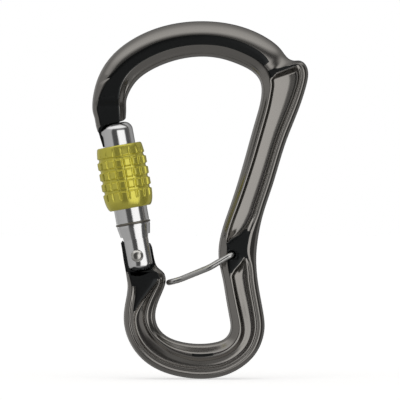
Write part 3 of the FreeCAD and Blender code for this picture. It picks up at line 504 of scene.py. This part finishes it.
# its rows: the bottom edge, the knurled wall and the top edge, each from, to and how many
SLEEVE_ROWS = [(16.2, 16.5, 6), (16.7, 37.1, 150), (37.25, 37.7, 8)]
# grooves round it, by height
BANDS = [22.52, 26.18, 29.84, 33.5]
BAND_DEPTH = 0.62
BAND_REACH = 0.82
BLEND = 0.5
# flutes along it: their floor's radius, their lower end, and the turn of the first one
FLUTES = 18
COLUMNS_PER_FLUTE = 22
FLUTE_FLOOR = 7.72
FLUTE_DEPTH = 0.8
FLUTE_HALF = 0.2
FLUTE_END = 19.7
FLUTE_TURN = math.radians(7.0)
KNURL_RADIUS = 8.3
KNURL_SOFTNESS = 0.12


def smooth_step(t):
    """Rises smoothly from 0 to 1 as t does."""
    t = np.clip(t, 0, 1)
    return t * t * (3 - 2 * t)


def soft_min(a, b, width):
    """The smaller of two values, blended where they are closer than the width."""
    h = np.clip(width - np.abs(a - b), 0, None) / width
    return np.minimum(a, b) - h * h * width / 4


def locking_sleeve():
    """The knurled sleeve: bands and flutes cut into a turned ring, with a plain bore."""
    heights, radii = np.array(SLEEVE_OUTLINE).T
    outline = monotone(heights, radii[:, None])
    z = np.concatenate([np.linspace(*row) for row in SLEEVE_ROWS])
    columns = FLUTES * COLUMNS_PER_FLUTE
    angles = np.arange(columns) / columns * 2 * math.pi
    body = outline(z)[:, 0]
    for band in BANDS:
        body = body - BAND_DEPTH * smooth_step((BAND_REACH - np.abs(z - band)) / BLEND)
    pitch = 2 * math.pi / FLUTES
    off = ((angles - FLUTE_TURN + pitch / 2) % pitch - pitch / 2) * KNURL_RADIUS
    beyond = np.clip(FLUTE_END - z, 0, None)
    reach = np.sqrt(off[None, :]**2 + beyond[:, None]**2)
    floor_radius = FLUTE_FLOOR + FLUTE_DEPTH * smooth_step((reach - FLUTE_HALF) / BLEND)
    radius = soft_min(body[:, None], floor_radius, KNURL_SOFTNESS)
    rows = [(z[i], radius[i]) for i in range(len(z))]
    rows += [(h, np.full(columns, r)) for h, r in SLEEVE_BORE]
    mesh = bpy.data.meshes.new("sleeve")
    verts, faces = [], []
    for height, row in rows:
        for angle, r in zip(angles, row):
            side, front = r * math.cos(angle), r * math.sin(angle)
            x, z_mm = GATE_ORIGIN + side * ACROSS + height * UP
            verts.append((x * MM, -front * MM, z_mm * MM))
    for i in range(len(rows)):
        for j in range(columns):
            a, b = i * columns, (i + 1) % len(rows) * columns
            faces.append((a + j, a + (j + 1) % columns, b + (j + 1) % columns, b + j))
    mesh.from_pydata(verts, [], faces)
    mesh.polygons.foreach_set("use_smooth", [True] * len(faces))
    bm = bmesh.new()
    bm.from_mesh(mesh)
    bmesh.ops.recalc_face_normals(bm, faces=bm.faces)
    bm.to_mesh(mesh)
    bm.free()
    piece = bpy.data.objects.new("knurled_sleeve", mesh)
    bpy.context.scene.collection.objects.link(piece)
    piece.data.materials.append(sleeve_metal)
    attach(piece, "sleeve")
    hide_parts("locking_sleeve")


locking_sleeve()
bar = skin("carabiner_frame", frame_bar())
bar.data.materials.append(gloss_metal)
bar.data.materials.append(satin_painted_shade)

# the wire bar's blind holes, front and back, with their countersunk mouths
BAR_PIVOT = (9.83, -66.71)
HOLE_RADIUS = 1.03
HOLE_DEPTH = 3.2
MOUTH_RADIUS = 1.75
FACE_HEIGHT = 5.5
ABOVE_FACE = 1.5
HOLE_STEPS = 48


def hole_cutter(side):
    """A drill with a 45 degree shoulder that enters one face; side is -1 in front and 1 behind."""
    sink = MOUTH_RADIUS - HOLE_RADIUS
    profile = [(HOLE_RADIUS, FACE_HEIGHT - HOLE_DEPTH), (HOLE_RADIUS, FACE_HEIGHT - sink),
               (MOUTH_RADIUS, FACE_HEIGHT), (MOUTH_RADIUS + ABOVE_FACE, FACE_HEIGHT + ABOVE_FACE)]
    bm = bmesh.new()
    rings = []
    for radius, height in profile:
        ring = []
        for k in range(HOLE_STEPS):
            t = 2 * math.pi * k / HOLE_STEPS
            ring.append(bm.verts.new(((BAR_PIVOT[0] + radius * math.cos(t)) * MM, side * height * MM,
                                      (BAR_PIVOT[1] + radius * math.sin(t)) * MM)))
        rings.append(ring)
    for a, b in zip(rings, rings[1:]):
        for k in range(HOLE_STEPS):
            j = (k + 1) % HOLE_STEPS
            bm.faces.new((a[k], a[j], b[j], b[k])).smooth = True
    bm.faces.new(rings[0])
    bm.faces.new(rings[-1])
    # the drill's faces become the holes' walls, in the near-black satin: painted shade inside the holes
    for face in bm.faces:
        face.material_index = SATIN_SHADE
    bmesh.ops.recalc_face_normals(bm, faces=bm.faces)
    mesh = bpy.data.meshes.new("hole_cutter")
    bm.to_mesh(mesh)
    bm.free()
    cutter = bpy.data.objects.new("hole_cutter", mesh)
    cutter.data.materials.append(gloss_metal)
    cutter.data.materials.append(satin_painted_shade)
    bpy.context.scene.collection.objects.link(cutter)
    return cutter


for side in (-1, 1):
    cutter = hole_cutter(side)
    cut = bar.modifiers.new("hole", "BOOLEAN")
    cut.operation = "DIFFERENCE"
    cut.solver = "EXACT"
    cut.object = cutter
    bpy.context.view_layer.update()
    drilled = bpy.data.meshes.new_from_object(bar.evaluated_get(bpy.context.evaluated_depsgraph_get()))
    bar.modifiers.clear()
    bar.data = drilled
    bpy.data.objects.remove(cutter)


WELD = 1e-7


def cad_slice(name, node, planes):
    """A closed slice of a CAD node's mesh between planes, each a point and the direction cut away."""
    bm = bmesh.new()
    bm.from_mesh(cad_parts[node].data)
    bmesh.ops.remove_doubles(bm, verts=bm.verts, dist=WELD)
    for point, direction in planes:
        everything = bm.verts[:] + bm.edges[:] + bm.faces[:]
        cut = bmesh.ops.bisect_plane(bm, geom=everything, plane_co=point, plane_no=direction,
                                     clear_outer=True)
        edges = [e for e in cut["geom_cut"] if isinstance(e, bmesh.types.BMEdge)]
        bmesh.ops.holes_fill(bm, edges=edges)
    mesh = bpy.data.meshes.new(name)
    bm.to_mesh(mesh)
    bm.free()
    piece = bpy.data.objects.new(name, mesh)
    bpy.context.scene.collection.objects.link(piece)
    return piece


def at_hinge(across, along):
    """A place in the middle plane, given across and along the closed gate."""
    x, z = from_hinge(across, along)
    return Vector((x * MM, 0, z * MM))


# where the tang and the tongue are cut out of the solid frame, in mm
TANG_HALF = 2.1
TANG_SPAN = (-8.0, 12.0)
TONGUE_SPAN = (36.0, 45.6)
TONGUE_SIDE = 2.1
SPINE_SIDE_X = -10.5
up = Vector((UP[0], 0, UP[1]))
across = Vector((ACROSS[0], 0, ACROSS[1]))
back = Vector((0, 1, 0))
right = Vector((1, 0, 0))
off_spine = (right * SPINE_SIDE_X * MM, right)
tang = cad_slice("hinge_tang", "frame", [
    (-back * TANG_HALF * MM, -back), (back * TANG_HALF * MM, back),
    (at_hinge(0, TANG_SPAN[0]), -up), (at_hinge(0, TANG_SPAN[1]), up), off_spine])
tongue = cad_slice("nose_tongue", "frame", [
    (at_hinge(0, TONGUE_SPAN[1]), up), (at_hinge(0, TONGUE_SPAN[0]), -up),
    (at_hinge(TONGUE_SIDE, 0), across), off_spine])
# the tang and the tongue sit in the gap under the gate's ends; their near-black satin is painted shade
for piece in (tang, tongue):
    piece.data.materials.clear()
    piece.data.materials.append(satin_painted_shade)


def join(pieces):
    """One object of several, keeping the first one's name."""
    bpy.ops.object.select_all(action="DESELECT")
    for piece in pieces:
        piece.select_set(True)
    bpy.context.view_layer.objects.active = pieces[0]
    bpy.ops.object.join()
    return pieces[0]


frame_piece = join([bar, tang, tongue])
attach(frame_piece, "frame")
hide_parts("frame")

# ---------------------------------------------------------------- floor, light and camera
FLOOR_GAP = 0.00005
FLOOR_RADIUS = 6.0
FLOOR_GLOW = 0.56
floor_mesh = bpy.data.meshes.new("floor")
bm = bmesh.new()
bmesh.ops.create_circle(bm, cap_ends=True, radius=FLOOR_RADIUS, segments=96)
bm.to_mesh(floor_mesh)
bm.free()
floor = bpy.data.objects.new("floor", floor_mesh)
floor.location = (0, 0, cad_bounds[0][2] - FLOOR_GAP)
bpy.context.scene.collection.objects.link(floor)
paper = material("paper", (0.9, 0.9, 0.9), 0.9, metallic=0.0, grain=800, bump=0.0,
                 colour_spread=0.01)
floor.data.materials.append(paper)


def brighten(m):
    """Lifts the floor to an even white for the camera, and hides it from every other ray."""
    nodes, links = m.node_tree.nodes, m.node_tree.links
    surface = nodes["Principled BSDF"]
    path = nodes.new("ShaderNodeLightPath")
    glow = nodes.new("ShaderNodeEmission")
    clear = nodes.new("ShaderNodeBsdfTransparent")
    glow.inputs["Strength"].default_value = FLOOR_GLOW
    lifted = nodes.new("ShaderNodeAddShader")
    links.new(surface.outputs[0], lifted.inputs[0])
    links.new(glow.outputs[0], lifted.inputs[1])
    choose = nodes.new("ShaderNodeMixShader")
    links.new(path.outputs["Is Camera Ray"], choose.inputs[0])
    links.new(clear.outputs[0], choose.inputs[1])
    links.new(lifted.outputs[0], choose.inputs[2])
    links.new(choose.outputs[0], nodes["Material Output"].inputs[0])


brighten(paper)


# the studio's light levels, by angle in degrees: round the object, over it, and by height
AROUND = [(-180, 0.13), (-168, 0.18), (-160, 0.4), (-132, 0.44), (-125, 0.34), (-90, 0.38), (-37, 0.41),
          (-31, 0.07), (2, 0.06), (7, 1.05), (55, 1.1), (60, 0.07), (92, 0.08), (99, 0.28), (135, 0.3),
          (146, 0.18), (180, 0.13)]
OVER = [(-180, 0.26), (0, 0.88), (50, 0.95), (70, 0.88), (84, 0.78), (101, 0.55), (124, 0.39),
        (150, 0.28), (180, 0.26)]
STRIP_SPAN = (0, 60)
STRIP_GONE = 0.1
ABOVE = [(-90, 0), (28, 0), (44, 1), (90, 1)]
BELOW = [(-90, 1), (-36, 1), (-24, 0), (90, 0)]
STRIP_TOP = [(-90, 0), (10, 0), (20, 1), (90, 1)]
BELOW_LEVEL = 0.26
WARM_WHITE = (1.0, 0.99, 0.975, 1)


def studio():
    """White for the camera; for all else softboxes above and at the sides, dim towards the front."""
    world = bpy.data.worlds.new("studio")
    bpy.context.scene.world = world
    world.use_nodes = True
    nodes, links = world.node_tree.nodes, world.node_tree.links
    nodes.clear()

    def math_node(operation, a, b=None, c=None):
        """The output of a Math node whose inputs are numbers or other nodes' outputs."""
        node = nodes.new("ShaderNodeMath")
        node.operation = operation
        for socket, value in zip(node.inputs, (a, b, c)):
            if isinstance(value, (int, float)):
                socket.default_value = value
            elif value is not None:
                links.new(value, socket)
        return node.outputs[0]

    def ramp(value, stops):
        """A grey ramp through stops of position and level."""
        node = nodes.new("ShaderNodeValToRGB")
        elements = node.color_ramp.elements
        while len(elements) < len(stops):
            elements.new(0.5)
        for element, (position, level) in zip(elements, stops):
            element.position = position
            element.color = (level, level, level, 1)
        links.new(value, node.inputs[0])
        return node.outputs[0]

    where = nodes.new("ShaderNodeTexCoord")
    split = nodes.new("ShaderNodeSeparateXYZ")
    links.new(where.outputs["Generated"], split.inputs[0])
    x, y, z = split.outputs
    side = math_node("ARCTAN2", x, math_node("MULTIPLY", y, -1.0))
    side = math_node("ADD", math_node("DIVIDE", side, 2 * math.pi), 0.5)
    height = math_node("ADD", math_node("DIVIDE", math_node("ARCSINE", z), math.pi), 0.5)
    above, below, high = (ramp(height, [((d + 90) / 180, level) for d, level in stops])
                          for stops in (ABOVE, BELOW, STRIP_TOP))
    no_strip = [(d, STRIP_GONE if STRIP_SPAN[0] < d < STRIP_SPAN[1] else level) for d, level in AROUND]
    around = ramp(side, [((d + 180) / 360, level) for d, level in AROUND])
    around_high = ramp(side, [((d + 180) / 360, level) for d, level in no_strip])
    around = math_node("MULTIPLY_ADD", around, math_node("SUBTRACT", 1.0, high),
                       math_node("MULTIPLY", around_high, high))
    over = math_node("ARCTAN2", z, math_node("MULTIPLY", y, -1.0))
    over = math_node("ADD", math_node("DIVIDE", over, 2 * math.pi), 0.5)
    over_level = ramp(over, [((d + 180) / 360, level) for d, level in OVER])
    top_light = math_node("MULTIPLY", above, over_level)
    keep = math_node("MULTIPLY", math_node("SUBTRACT", 1.0, above), math_node("SUBTRACT", 1.0, below))
    total = math_node("ADD", math_node("MULTIPLY", around, keep), top_light)
    total = math_node("ADD", total, math_node("MULTIPLY", below, BELOW_LEVEL))
    seen = nodes.new("ShaderNodeBackground")
    lit = nodes.new("ShaderNodeBackground")
    seen.inputs["Color"].default_value = (1, 1, 1, 1)
    links.new(total, lit.inputs["Strength"])
    lit.inputs["Color"].default_value = WARM_WHITE
    path = nodes.new("ShaderNodeLightPath")
    choose = nodes.new("ShaderNodeMixShader")
    links.new(path.outputs["Is Camera Ray"], choose.inputs[0])
    links.new(lit.outputs[0], choose.inputs[1])
    links.new(seen.outputs[0], choose.inputs[2])
    out = nodes.new("ShaderNodeOutputWorld")
    links.new(choose.outputs[0], out.inputs[0])


studio()
# the picture's width is measured at the front face; all in metres
CAMERA_DISTANCE = 1.5
PICTURE_WIDTH = 0.13464
SENSOR = 36
AIM = Vector((-0.00084, 0, -0.04837))
FRONT_FACE = 0.004
camera_data = bpy.data.cameras.new("camera")
camera = bpy.data.objects.new("camera", camera_data)
bpy.context.scene.collection.objects.link(camera)
camera_data.sensor_width = SENSOR
camera_data.lens = SENSOR * (CAMERA_DISTANCE - FRONT_FACE) / PICTURE_WIDTH
camera_data.clip_end = 50
camera.location = AIM + Vector((0, -CAMERA_DISTANCE, 0))
camera.rotation_euler = (math.pi / 2, 0, 0)
bpy.context.scene.camera = camera
